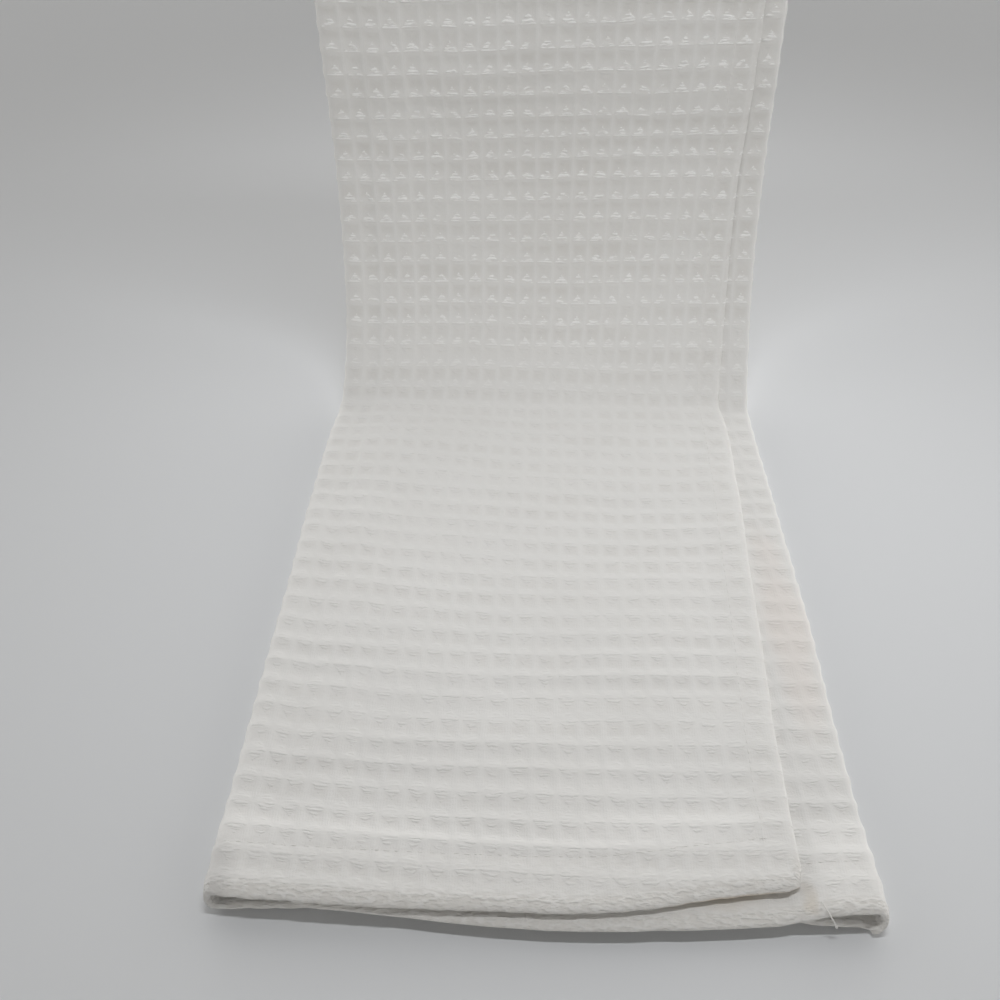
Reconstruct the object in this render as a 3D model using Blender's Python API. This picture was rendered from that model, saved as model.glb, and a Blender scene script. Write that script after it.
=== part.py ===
"""A waffle-weave dish towel, folded in thirds along its length. Its upper part hangs straight down, and its
lower part bends forward at a soft crease and lies on a flat surface.

The cloth is one strip, folded like a letter C. The bottom layer runs from the left fold to the right fold.
The middle layer comes back from the right fold and ends in a hem inside. The top layer runs from the left
fold over both and ends in a hem short of the right fold.

The model's front is -Y, its top is +Z, and the surface that it lies on is z = 0. Metres throughout.
"""

import bmesh
import bpy
import numpy as np

# The cloth, as it is cut and hemmed. Folded in thirds it is about 0.17 m wide.
TOWEL_LENGTH = 0.700
SHEET = 0.0020  # thickness of the waffle weave
HEM = 0.0028  # thickness of the turned and stitched hems
HEM_WIDTH = 0.0105  # width of the hems along the two long edges
END_HEM = 0.0165  # and of those across the two ends
HEM_STEP = 0.0015  # the thickness goes back to that of the sheet over this width

# How the three layers lie on each other. A spacing is between the middles of two neighbouring layers.
LAYER_SPACING = 0.0028
HEM_SPACING = 0.0034  # at the two ends, where each layer has a hem
LOOSE_SWELL = 0.0005  # how far the loose top layer rises and falls over the middle one
SWELL_ACROSS = 0.085  # length of that swell, across the towel
SWELL_ALONG = 0.120  # and along it
SWELL_IN = 0.030  # it grows to its full height over this distance in from the left fold
SWELL_ENDS = (0.19, 0.25)  # and dies away between these distances up the cloth, across the crease

# At the front right corner the middle layer's edge springs up from the bottom one.
CORNER_LIFT = 0.0030
CORNER_REACH = 0.030  # how far in from the front edge that lift dies away
CORNER_START = 0.027  # and how far in from the right fold it starts

# The side view: the slope of the cloth at each distance up from its front edge. Between two rows the cloth is
# an arc. It lies flat up to the crease, rises from it at 38 degrees, comes round to hang upright, and leans
# a very little forward above that.
SIDE_VIEW = [
    # distance, slope in degrees
    (0.000, 0.0),
    (0.210, 0.0),
    (0.222, 38.0),
    (0.241, 51.0),
    (0.261, 62.5),
    (0.286, 74.0),
    (0.316, 83.0),
    (0.358, 88.5),
    (0.430, 90.5),
    (0.500, 91.5),
    (0.720, 91.5),
]

# The plan of the folded towel, in metres to the right of the line that it is measured from. The lower part
# lies askew: its left side swings out towards the front, and the top layer swings with it.
PLAN = [
    # distance, left fold, inner hem, top hem, right fold
    (0.000, -0.0793, -0.0560, 0.0800, 0.1020),
    (0.060, -0.0767, -0.0570, 0.0824, 0.1026),
    (0.110, -0.0738, -0.0552, 0.0862, 0.1038),
    (0.160, -0.0715, -0.0550, 0.0892, 0.1034),
    (0.200, -0.0685, -0.0535, 0.0906, 0.1032),
    (0.216, -0.0665, -0.0520, 0.0900, 0.1034),
    (0.240, -0.0647, -0.0490, 0.0918, 0.1042),
    (0.300, -0.0638, -0.0480, 0.0928, 0.1037),
    (0.380, -0.0652, -0.0490, 0.0920, 0.1014),
    (0.540, -0.0655, -0.0495, 0.0915, 0.1012),
    (0.720, -0.0655, -0.0495, 0.0915, 0.1012),
]

# How far each layer's front edge is drawn back, across the towel. None of the three is quite straight. The
# middle layer's edge stands out in front of the other two, but at the right corner the bottom one reaches
# farther.
FRONT_EDGES = [
    # across, top layer, middle layer, bottom layer
    (-0.080, 0.0052, 0.0052, 0.0044),
    (-0.060, 0.0038, 0.0040, 0.0046),
    (-0.040, 0.0024, 0.0022, 0.0044),
    (0.000, 0.0007, -0.0020, 0.0020),
    (0.026, 0.0003, -0.0032, 0.0014),
    (0.036, 0.0011, -0.0030, 0.0014),
    (0.055, 0.0037, -0.0026, 0.0014),
    (0.072, 0.0056, -0.0016, 0.0012),
    (0.082, 0.0063, -0.0005, 0.0002),
    (0.094, 0.0063, 0.0000, -0.0006),
    (0.103, 0.0063, 0.0002, -0.0024),
]
FRONT_FADE = 0.110  # the shapes of the front edges die away over this distance up the cloth

# The mesh: steps across each layer and round each fold, and steps along the cloth up to each distance.
STEPS_ACROSS = 12
FOLD_STEPS = 6
STEPS_ALONG = [
    # up to this distance, steps
    (END_HEM, 2),
    (END_HEM + HEM_STEP, 1),
    (0.206, 11),
    (0.226, 6),
    (0.286, 7),
    (0.358, 6),
    (TOWEL_LENGTH - END_HEM - HEM_STEP, 11),
    (TOWEL_LENGTH - END_HEM, 1),
    (TOWEL_LENGTH, 1),
]

COTTON = (0.80, 0.79, 0.77, 1.0)
ROUGHNESS = 0.95


def curve_through(table, column, at):
    """A smooth curve through one column of a table, read at the given places of its first column."""
    rows = np.array(table)
    place, value = rows[:, 0], rows[:, column]
    slope = np.gradient(value, place)
    i = np.clip(np.searchsorted(place, at) - 1, 0, len(place) - 2)
    span = place[i + 1] - place[i]
    t = np.clip((at - place[i]) / span, 0, 1)
    rise = t * t * (3 - 2 * t)
    lead, trail = t * (1 - t) ** 2, t * t * (t - 1)
    return value[i] + (value[i + 1] - value[i]) * rise + span * (lead * slope[i] + trail * slope[i + 1])


def fade(at, full, gone):
    """1 at full, falling smoothly to 0 at gone."""
    t = np.clip((at - full) / (gone - full), 0, 1)
    return 1 - t * t * (3 - 2 * t)


def side_view(distance):
    """Where the underside of the cloth is at this distance up from its front edge, and its slope."""
    rows = np.array(SIDE_VIEW)
    step = 0.00025
    fine = np.arange(0, rows[-1, 0] + step, step)
    slope = np.radians(np.interp(fine, rows[:, 0], rows[:, 1]))
    middle = (slope[1:] + slope[:-1]) / 2
    back = np.concatenate([[0], np.cumsum(np.cos(middle) * step)])
    up = np.concatenate([[0], np.cumsum(np.sin(middle) * step)])
    # In front of the first row the cloth goes on level.
    place = np.interp(distance, fine, back) + min(distance, 0)
    return place, np.interp(distance, fine, up), np.interp(distance, fine, slope)


def end_hem(distance):
    """1 on the hems across the two ends, and 0 on the plain weave between them."""
    from_end = min(distance, TOWEL_LENGTH - distance)
    return float(fade(from_end, END_HEM, END_HEM + HEM_STEP))


def section(distance):
    """The folded strip, cut across at this distance: for each point from the top layer's hem round both folds
    to the inner hem, its place across, its height over the underside, the direction out of the cloth's outer
    side, its thickness there, and how far it is drawn back at the front edge."""
    left, inner, hem, right = (float(curve_through(PLAN, c, distance)) for c in (1, 2, 3, 4))
    ends = end_hem(distance)
    sheet = SHEET + (HEM - SHEET) * ends
    spacing = LAYER_SPACING + (HEM_SPACING - LAYER_SPACING) * ends
    low = sheet / 2
    lift = CORNER_LIFT * float(fade(distance, 0, CORNER_REACH))
    loose = float(fade(distance, *SWELL_ENDS)) * (1 - ends)

    def swell(across):
        wave = np.sin(2 * np.pi * across / SWELL_ACROSS + 1.0) * np.sin(2 * np.pi * distance / SWELL_ALONG)
        return LOOSE_SWELL * (1 + wave) * loose * fade(across - left, SWELL_IN, 0)

    def middle_height(across):
        return low + spacing + lift * fade(right - across, CORNER_START / 2, CORNER_START)

    def top_height(across):
        return low + 2 * spacing + swell(across)

    def hem_thickness(from_hem):
        return sheet + (HEM - sheet) * fade(from_hem, HEM_WIDTH, HEM_WIDTH + HEM_STEP)

    left_radius = (float(top_height(left)) - low) / 2
    right_radius = (float(middle_height(right)) - low) / 2
    left_bend = left + left_radius + sheet / 2
    right_bend = right - right_radius - sheet / 2
    hem_lines = np.array([0, HEM_WIDTH, HEM_WIDTH + HEM_STEP])
    points = []

    def layer(places, height, up, thickness, column):
        for x in places:
            drawn = curve_through(FRONT_EDGES, column, x)
            points.append((x, height(x), 0, up, thickness(x), drawn))

    def fold(bend, radius, turns, edge, columns):
        # The front edge goes over from the one layer's shape to the other's on the way round.
        first, last = (float(curve_through(FRONT_EDGES, c, edge)) for c in columns)
        start = np.sin(np.radians(turns[0]))
        for turn in np.radians(turns[1:-1]):
            out_across, out_up = np.cos(turn), np.sin(turn)
            drawn = first + (last - first) * abs(out_up - start) / 2
            x, height = bend + radius * out_across, low + radius * (1 + out_up)
            points.append((x, height, out_across, out_up, sheet, drawn))

    across_top = np.linspace(hem - hem_lines[-1], left_bend, STEPS_ACROSS + 1)[1:]
    across_bottom = np.linspace(left_bend, right_bend, STEPS_ACROSS + 1)
    across_middle = np.linspace(right_bend, inner + hem_lines[-1], STEPS_ACROSS + 1)[:-1]
    layer([*(hem - hem_lines), *across_top], top_height, 1, lambda x: hem_thickness(hem - x), 1)
    fold(left_bend, left_radius, np.linspace(90, 270, FOLD_STEPS + 1), left, (1, 3))
    # The outer side of the bottom layer is its underside.
    layer(across_bottom, lambda x: low, -1, lambda x: sheet, 3)
    fold(right_bend, right_radius, np.linspace(-90, 90, FOLD_STEPS + 1), right, (3, 2))
    across_middle = [*across_middle, *(inner + hem_lines[::-1])]
    layer(across_middle, middle_height, 1, lambda x: hem_thickness(x - inner), 2)
    return points


def stations():
    """The distances up the cloth at which it is cut across."""
    cuts, start = [0.0], 0.0
    for end, steps in STEPS_ALONG:
        cuts.extend(np.linspace(start, end, steps + 1)[1:])
        start = end
    return cuts


def place(distance, point, side):
    """A point of the section in space, on the cloth's outer side (1) or its inner side (-1)."""
    across, height, out_across, out_up, thick, drawn = point
    along = distance + drawn * fade(distance, 0, FRONT_FADE)
    back, up, slope = side_view(along)
    out = side * thick / 2
    rise = height + out * out_up
    return (across + out * out_across, back - rise * np.sin(slope), up + rise * np.cos(slope))


def build_towel():
    cuts = stations()
    sections = [section(d) for d in cuts]
    rows, columns = len(cuts), len(sections[0])
    sides = []
    for side in (1, -1):
        sides.append([[place(d, p, side) for p in points] for d, points in zip(cuts, sections)])
    corners = np.array(sides).reshape(-1, 3)
    # The origin is at the middle of the towel's own box, on the surface that it lies on.
    corners[:, :2] -= (corners[:, :2].max(axis=0) + corners[:, :2].min(axis=0)) / 2

    bm = bmesh.new()
    verts = [bm.verts.new(corner) for corner in corners]

    def at(side, row, column):
        return verts[(side * rows + row) * columns + column]

    for r in range(rows - 1):
        for c in range(columns - 1):
            outer = [at(0, r, c), at(0, r, c + 1), at(0, r + 1, c + 1), at(0, r + 1, c)]
            inner = [at(1, r, c), at(1, r + 1, c), at(1, r + 1, c + 1), at(1, r, c + 1)]
            bm.faces.new(outer)
            bm.faces.new(inner)
    for r in range(rows - 1):
        for c in (0, columns - 1):
            bm.faces.new([at(0, r, c), at(0, r + 1, c), at(1, r + 1, c), at(1, r, c)])
    for c in range(columns - 1):
        for r in (0, rows - 1):
            bm.faces.new([at(0, r, c), at(0, r, c + 1), at(1, r, c + 1), at(1, r, c)])
    bmesh.ops.recalc_face_normals(bm, faces=bm.faces)
    mesh = bpy.data.meshes.new("dish_towel")
    bm.to_mesh(mesh)
    bm.free()
    mesh.shade_smooth()
    mesh.set_sharp_from_angle(angle=np.radians(50))
    towel = bpy.data.objects.new("dish_towel", mesh)
    bpy.context.scene.collection.objects.link(towel)
    return towel


def cotton():
    material = bpy.data.materials.new("white_cotton_waffle")
    material.use_nodes = True
    shader = material.node_tree.nodes["Principled BSDF"]
    shader.inputs["Base Color"].default_value = COTTON
    shader.inputs["Roughness"].default_value = ROUGHNESS
    shader.inputs["Metallic"].default_value = 0.0
    return material


def main():
    for thing in list(bpy.data.objects):
        bpy.data.objects.remove(thing, do_unlink=True)
    build_towel().data.materials.append(cotton())


main()
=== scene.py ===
import bmesh
import bpy
import numpy as np
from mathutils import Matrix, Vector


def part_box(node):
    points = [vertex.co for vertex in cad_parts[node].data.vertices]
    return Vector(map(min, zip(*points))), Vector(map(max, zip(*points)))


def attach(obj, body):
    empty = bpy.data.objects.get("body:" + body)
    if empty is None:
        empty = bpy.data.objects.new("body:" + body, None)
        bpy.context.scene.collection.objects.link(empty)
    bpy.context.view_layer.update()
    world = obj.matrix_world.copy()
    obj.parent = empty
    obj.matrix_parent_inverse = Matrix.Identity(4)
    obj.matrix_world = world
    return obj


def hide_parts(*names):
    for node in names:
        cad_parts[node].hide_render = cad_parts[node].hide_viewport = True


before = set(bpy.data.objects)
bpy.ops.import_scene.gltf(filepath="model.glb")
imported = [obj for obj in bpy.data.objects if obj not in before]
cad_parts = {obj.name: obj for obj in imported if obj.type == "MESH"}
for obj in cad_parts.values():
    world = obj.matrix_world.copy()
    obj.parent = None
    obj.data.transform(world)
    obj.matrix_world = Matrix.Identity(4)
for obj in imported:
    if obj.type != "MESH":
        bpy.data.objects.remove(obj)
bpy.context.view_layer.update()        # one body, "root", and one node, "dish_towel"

# A white waffle-weave dish towel, folded in thirds. Its upper part hangs, and its lower part bends forward at a
# soft crease and lies on the floor. The front is -Y, the top is +Z, the floor is z = 0. Metres throughout.
#
# The cloth is one closed sheet. Its outer side carries the waffle: on the top layer, round the left fold, on
# the underside, round the right fold and on the middle layer. A place on the cloth is a count of cells along
# the folded strip, from the edge of the top layer's hem, and a distance up from the front edge.

# The sizes of the folded towel, the same as those of its solid.
TOWEL_LENGTH = 0.700
SHEET = 0.0020  # thickness of the cloth
HEM = 0.0028  # and of its hems
HEM_WIDTH = 0.0105  # up the long edges
END_HEM = 0.0165  # and across the ends
HEM_STEP = 0.0015
LAYER_SPACING = 0.0028  # between the middles of two layers
HEM_SPACING = 0.0034  # and of two end hems
LOOSE_SWELL = 0.0005  # height of the top layer's low swells
SWELL_ACROSS = 0.085  # and their lengths
SWELL_ALONG = 0.120
SWELL_IN = 0.030  # they are full this far in from the left fold
SWELL_ENDS = (0.19, 0.25)  # and die away up the bend
CORNER_LIFT = 0.0030  # the middle layer is raised at the front right corner
CORNER_REACH = 0.030  # up the cloth
CORNER_START = 0.027  # and in from the right fold
FRONT_FADE = 0.110  # how far up the cloth an uneven front edge is felt
SIDE_VIEW = [
    # distance, slope in degrees
    (0.000, 0.0),
    (0.210, 0.0),
    (0.222, 38.0),
    (0.241, 51.0),
    (0.261, 62.5),
    (0.286, 74.0),
    (0.316, 83.0),
    (0.358, 88.5),
    (0.430, 90.5),
    (0.500, 91.5),
    (0.720, 91.5),
]
PLAN = [
    # distance, left fold, inner hem, top hem, right fold
    (0.000, -0.0793, -0.0560, 0.0800, 0.1020),
    (0.060, -0.0767, -0.0570, 0.0824, 0.1026),
    (0.110, -0.0738, -0.0552, 0.0862, 0.1038),
    (0.160, -0.0715, -0.0550, 0.0892, 0.1034),
    (0.200, -0.0685, -0.0535, 0.0906, 0.1032),
    (0.216, -0.0665, -0.0520, 0.0900, 0.1034),
    (0.240, -0.0647, -0.0490, 0.0918, 0.1042),
    (0.300, -0.0638, -0.0480, 0.0928, 0.1037),
    (0.380, -0.0652, -0.0490, 0.0920, 0.1014),
    (0.540, -0.0655, -0.0495, 0.0915, 0.1012),
    (0.720, -0.0655, -0.0495, 0.0915, 0.1012),
]
FRONT_EDGES = [
    # across, top layer, middle layer, bottom layer
    (-0.080, 0.0052, 0.0052, 0.0044),
    (-0.060, 0.0038, 0.0040, 0.0046),
    (-0.040, 0.0024, 0.0022, 0.0044),
    (0.000, 0.0007, -0.0020, 0.0020),
    (0.026, 0.0003, -0.0032, 0.0014),
    (0.036, 0.0011, -0.0030, 0.0014),
    (0.055, 0.0037, -0.0026, 0.0014),
    (0.072, 0.0056, -0.0016, 0.0012),
    (0.082, 0.0063, -0.0005, 0.0002),
    (0.094, 0.0063, 0.0000, -0.0006),
    (0.103, 0.0063, 0.0002, -0.0024),
]

# The weave. A cell is one square of the waffle, and a row is one line of cells across the towel.
CELL = 0.00705
# How many cells lie on each stretch of the folded strip, from the top layer's hem to the inner hem.
STRETCHES = [
    ("top", 22.0),
    ("left fold", 1.25),
    ("bottom", 23.5),
    ("right fold", 0.65),
    ("middle", 21.4),
]
FIRST_RIDGE = 0.30  # the first lengthwise ridge lies this many cells in from the hem's edge
ROW_RIDGE = 0.75  # the crosswise ridges lie at this share of a row
ROW_COUNT = [
    # distance over the top layer, rows from the front edge, along the top layer's hem
    (0.000, -0.40),
    (0.036, 4.04),
    (0.120, 14.17),
    (0.204, 24.35),
    (0.235, 27.63),
    (0.370, 43.77),
    (0.540, 64.25),
    (0.720, 85.90),
]
TOP_RISE = 0.0078  # the top layer's height, which makes its way round the bend shorter
SKEW = [
    # distance over the top layer; rows that the weft lies higher a third in, two thirds in, at the left fold
    (0.000, 0.00, -0.45, -1.05),
    (0.030, 0.00, -0.25, -1.00),
    (0.090, -0.03, -0.20, -1.00),
    (0.120, 0.08, -0.30, -1.20),
    (0.150, -0.03, -0.46, -1.25),
    (0.180, -0.20, -0.72, -1.22),
    (0.192, -0.22, -0.68, -1.15),
    (0.204, -0.15, -0.40, -0.83),
    (0.220, -0.09, -0.22, -0.38),
    (0.250, -0.01, -0.05, -0.10),
    (0.310, 0.08, 0.16, 0.20),
    (0.355, 0.15, 0.28, 0.35),
    (0.420, 0.08, 0.15, 0.15),
    (0.720, 0.00, 0.00, 0.00),
]
SKEW_AT = (0.35, 0.63, 1.0)  # the shares of the top layer, in from its hem, that those columns stand for

RELIEF = 0.00043  # from the ridges down to the bottoms of the cells
DEEPEST = 0.00172  # no cell is deeper, because the sheet has to stay whole
PIT_BOTTOM = 0.15  # share of a cell that is flat at the bottom
RIDGE_TOP = 0.96  # and share that the slopes reach out to
ROUND_SLOPE = 0.7  # how much the slopes are rounded at their tops and bottoms: 0 is straight
LENGTHWISE = (0.64, 0.80)  # share that the lengthwise ridges reach, where the cloth lies and where it hangs
NARROW = 2.2  # they are narrower than the crosswise ones: 1 is as wide
CROSSING_DIP = 0.00008  # the ridges are lower where they cross
PRESSED = 0.85  # share of the relief that is left on the hems
HEM_FLUFF = 0.2  # how worn the hems are. The edges at the two ends are 1
WORN_IN = (0.002, 0.006)  # as far in as this, and down to the hems' wear at this
WORN_ROUND = (0.006, 0.012)  # and round the corners, along the long edges, as far as this
SEAM = 0.0092  # the lines of stitches, in from the long edges
END_SEAM = 0.0150  # and in from the two ends
SEAM_DEPTH = 0.00006  # of the groove that each line pulls in
SEAM_SPREAD = 0.0006  # and half its width
# The solid's hems end in a short step. Here they run out softly into the plain weave, over these widths.
END_STEP = 0.014
SIDE_STEP = 0.005
CORNER_ROUND = 0.0038
# How far in the rounding of the edges starts: of the hems' outer side and of their inner side.
SIDE_ROUND = (0.0034, 0.0012)
END_ROUND = (0.0048, 0.0014)
EDGE_STEPS = 8  # lines of the mesh round an edge
EDGE_ROUGH = 0.00010  # the edges are a little uneven
EDGE_SCALLOP = 0.00018  # and bulge at each cell
DEEP_OVER_EDGE = 0.7  # share of the cells' depth that goes on over the edges

# Where the cloth isn't even.
DEPTH_BY_ROW = 0.30  # how much deeper or flatter whole rows are
DEPTH_BY_CELL = 0.24  # and single cells
WOBBLE = 0.00045  # how far the yarns wander over several cells
WOBBLE_UP = (4.5, 5.0)  # those that run up the cloth, over this many cells and rows
WOBBLE_ACROSS = (5.0, 2.6)  # and those that run across it
WOBBLE_ENDS = 0.020  # and less and less, this near to the ends
JITTER = 0.00022  # how far they wander from one cell to the next
RIPPLE = 0.00042  # low ripples of the loose top layer
RIPPLE_SIZE = (0.070, 0.0125)  # across the towel and along it
BROAD_SIZE = (0.035, 0.040)  # of the rounder ones among them
RIPPLE_LYING = (0.17, 0.24)  # they and the dent get weaker over these distances
RIPPLE_HELD = (0.020, 0.002)  # and the ripples over these too, in from the left fold
PRINT_RISE = 0.00040  # the inner hem shows through the top layer as a low band
PRINT_SIDES = (0.004, 0.006)  # whose two sides slope over these widths
PRINT_DENT = 0.00045  # and the top layer sinks a little between it and the left fold
DENT_SIDES = ((-0.003, 0.001), (-0.016, -0.006))  # full and gone, from the inner hem and from the left fold
PULLED = [
    # row, how many rows it reaches, first and last cell from the hem, how much deeper its cells are
    (1.7, 0.5, 6.5, 16.0, 0.75),
    (3.4, 0.7, 13.0, 18.5, -0.45),
    (3.3, 0.5, 2.0, 7.5, 0.35),
    (4.6, 0.5, 2.0, 20.0, 0.35),
    (5.4, 0.5, 6.0, 17.5, 0.35),
    (7.1, 0.8, 1.8, 10.5, -0.55),
    (8.5, 0.6, 1.8, 11.5, 0.55),
    (9.8, 0.5, 3.0, 12.0, 0.30),
    (9.0, 0.7, 18.5, 21.5, 0.40),
    (13.0, 0.7, 13.5, 17.0, 0.30),
    (16.5, 2.0, 18.2, 20.2, 0.45),
    (18.4, 0.6, 6.0, 18.0, 0.25),
    (22.6, 1.2, 3.0, 19.0, -0.45),
]
HANGING_WAVES = [
    # distance, how far the hanging part is pushed forward
    (0.000, 0.0000),
    (0.238, 0.0000),
    (0.250, 0.0000),
    (0.290, 0.0003),
    (0.303, 0.0005),
    (0.328, 0.0001),
    (0.354, 0.0010),
    (0.380, 0.0001),
    (0.410, 0.0003),
    (0.470, 0.0010),
    (0.540, 0.0002),
    (0.620, 0.0009),
    (0.720, 0.0000),
]

# The mesh's lines in each cell, as shares of a cell from a ridge: those that run up the cloth and those across.
CUTS_UP = (0.0, 0.13, 0.34, 0.66, 0.87)
CUTS_ACROSS = (0.0, 0.11, 0.28, 0.5, 0.72, 0.89)
HIGH_CUTS_UP = (0.0, 0.34, 0.66)  # above the part that the front view shows, and on the back
HIGH_CUTS_ACROSS = (0.0, 0.28, 0.5, 0.72)
BACK_CUTS_ACROSS = (0.0, 0.28, 0.72)
FINE_ROWS = 45  # the rows that have the finest lines
LYING_ROWS = 23  # the rows whose underside lies on the floor
BEND_ROWS = (24, 40)
VISIBLE_MIDDLE = 4.0  # cells of the middle layer that reach out from under the top one
LINE_GAP = 0.05  # a line nearer than this to one that has to stay is left out
FRONT_LINES = (8, 11)  # lines on the front end's hem, and from there to the first row
TOP_LINES = (4, 6)  # and the same at the top
SEARCH_STEP = 0.0005  # for finding the rows' places

# The stitches and the loose end of thread.
STITCH_LENGTH = 0.0022
STITCH_PITCH = 0.0031
STITCH_SUNK = (0.6, 0.1)  # share of the thread that is sunk in: on the floor's side and elsewhere
PATH_UP, PATH_OVER = 0.0012, 0.12  # steps of their lines up the cloth, and in cells across it
THREAD = 0.00030
LOOSE_THICKNESS = 0.00040
LOOSE_THREAD = [
    # across, back from the front line, up, share of its thickness
    (0.0838, 0.0034, 0.00800, 0.8),
    (0.0842, 0.0021, 0.00825, 1.0),
    (0.0847, 0.0008, 0.00820, 1.0),
    (0.0853, -0.0003, 0.00785, 1.0),
    (0.0857, -0.0008, 0.00710, 1.0),
    (0.0863, -0.0011, 0.00610, 1.0),
    (0.0867, -0.0014, 0.00540, 1.1),
    (0.0870, -0.0017, 0.00490, 1.9),
    (0.0872, -0.0018, 0.00455, 2.1),
    (0.0873, -0.0019, 0.00430, 1.1),
]

# The photo's camera, looking down over the towel's front.
LENS, SENSOR = 36.0, 36.0
CAMERA_PITCH = 43.58  # down from level, in degrees
CAMERA_FORWARD = 0.1131  # in front of the towel's front line
CAMERA_HEIGHT = 0.2632


# ----------------------------
# The folded strip


def curve_through(table, column, at):
    """A smooth curve through one column of a table, read at the given places of its first column."""
    rows = np.array(table)
    place, value = rows[:, 0], rows[:, column]
    slope = np.gradient(value, place)
    i = np.clip(np.searchsorted(place, at) - 1, 0, len(place) - 2)
    span = place[i + 1] - place[i]
    t = np.clip((at - place[i]) / span, 0, 1)
    rise = t * t * (3 - 2 * t)
    lead, trail = t * (1 - t) ** 2, t * t * (t - 1)
    return value[i] + (value[i + 1] - value[i]) * rise + span * (lead * slope[i] + trail * slope[i + 1])


def fade(at, full, gone):
    """1 at full, falling smoothly to 0 at gone."""
    t = np.clip((at - full) / (gone - full), 0, 1)
    return 1 - t * t * (3 - 2 * t)


def bell(at, spread):
    return np.exp(-((at / spread) ** 2))


def soft_noise(a, b, seed):
    """Smooth noise from -1 to 1 over two coordinates, one bump for each whole step."""
    grid = np.random.default_rng(seed).uniform(-1, 1, (61, 67))
    i, j = np.floor(a).astype(int), np.floor(b).astype(int)
    s, t = a - i, b - j
    s, t = s * s * (3 - 2 * s), t * t * (3 - 2 * t)

    def corner(di, dj):
        return grid[(i + di) % 61, (j + dj) % 67]

    near = corner(0, 0) * (1 - s) + corner(1, 0) * s
    far = corner(0, 1) * (1 - s) + corner(1, 1) * s
    return near * (1 - t) + far * t


FINE_STEP = 0.00025
FINE_ALONG = np.arange(0, SIDE_VIEW[-1][0] + FINE_STEP, FINE_STEP)
FINE_SLOPE = np.radians(np.interp(FINE_ALONG, *np.array(SIDE_VIEW).T))
BETWEEN = (FINE_SLOPE[1:] + FINE_SLOPE[:-1]) / 2
FINE_BACK = np.concatenate([[0], np.cumsum(np.cos(BETWEEN) * FINE_STEP)])
FINE_UP = np.concatenate([[0], np.cumsum(np.sin(BETWEEN) * FINE_STEP)])


def side_view(along):
    """Where the underside is at this distance up the cloth, and its slope. Below 0 it goes on level."""
    back = np.interp(along, FINE_ALONG, FINE_BACK) + np.minimum(along, 0)
    return back, np.interp(along, FINE_ALONG, FINE_UP), np.interp(along, FINE_ALONG, FINE_SLOPE)


STARTS = np.concatenate([[0], np.cumsum([cells for _, cells in STRETCHES])])
LAST_CELL = STARTS[-1]


def rows_at(stretch, share, along):
    """The count of rows from the front edge."""
    over_top = along - TOP_RISE * side_view(along)[2]
    count = curve_through(ROW_COUNT, 1, over_top)
    third, two_thirds, far = (curve_through(SKEW, c, over_top) for c in (1, 2, 3))
    a, b, c = SKEW_AT
    if stretch == "top":
        t = share
        return count + (
            third * t * (t - b) * (t - c) / (a * (a - b) * (a - c))
            + two_thirds * t * (t - a) * (t - c) / (b * (b - a) * (b - c))
            + far * t * (t - a) * (t - b) / (c * (c - a) * (c - b))
        )
    if stretch == "left fold":
        return count + far
    if stretch == "bottom":
        return count + far * fade(share, 0, 1)
    return count


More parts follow.
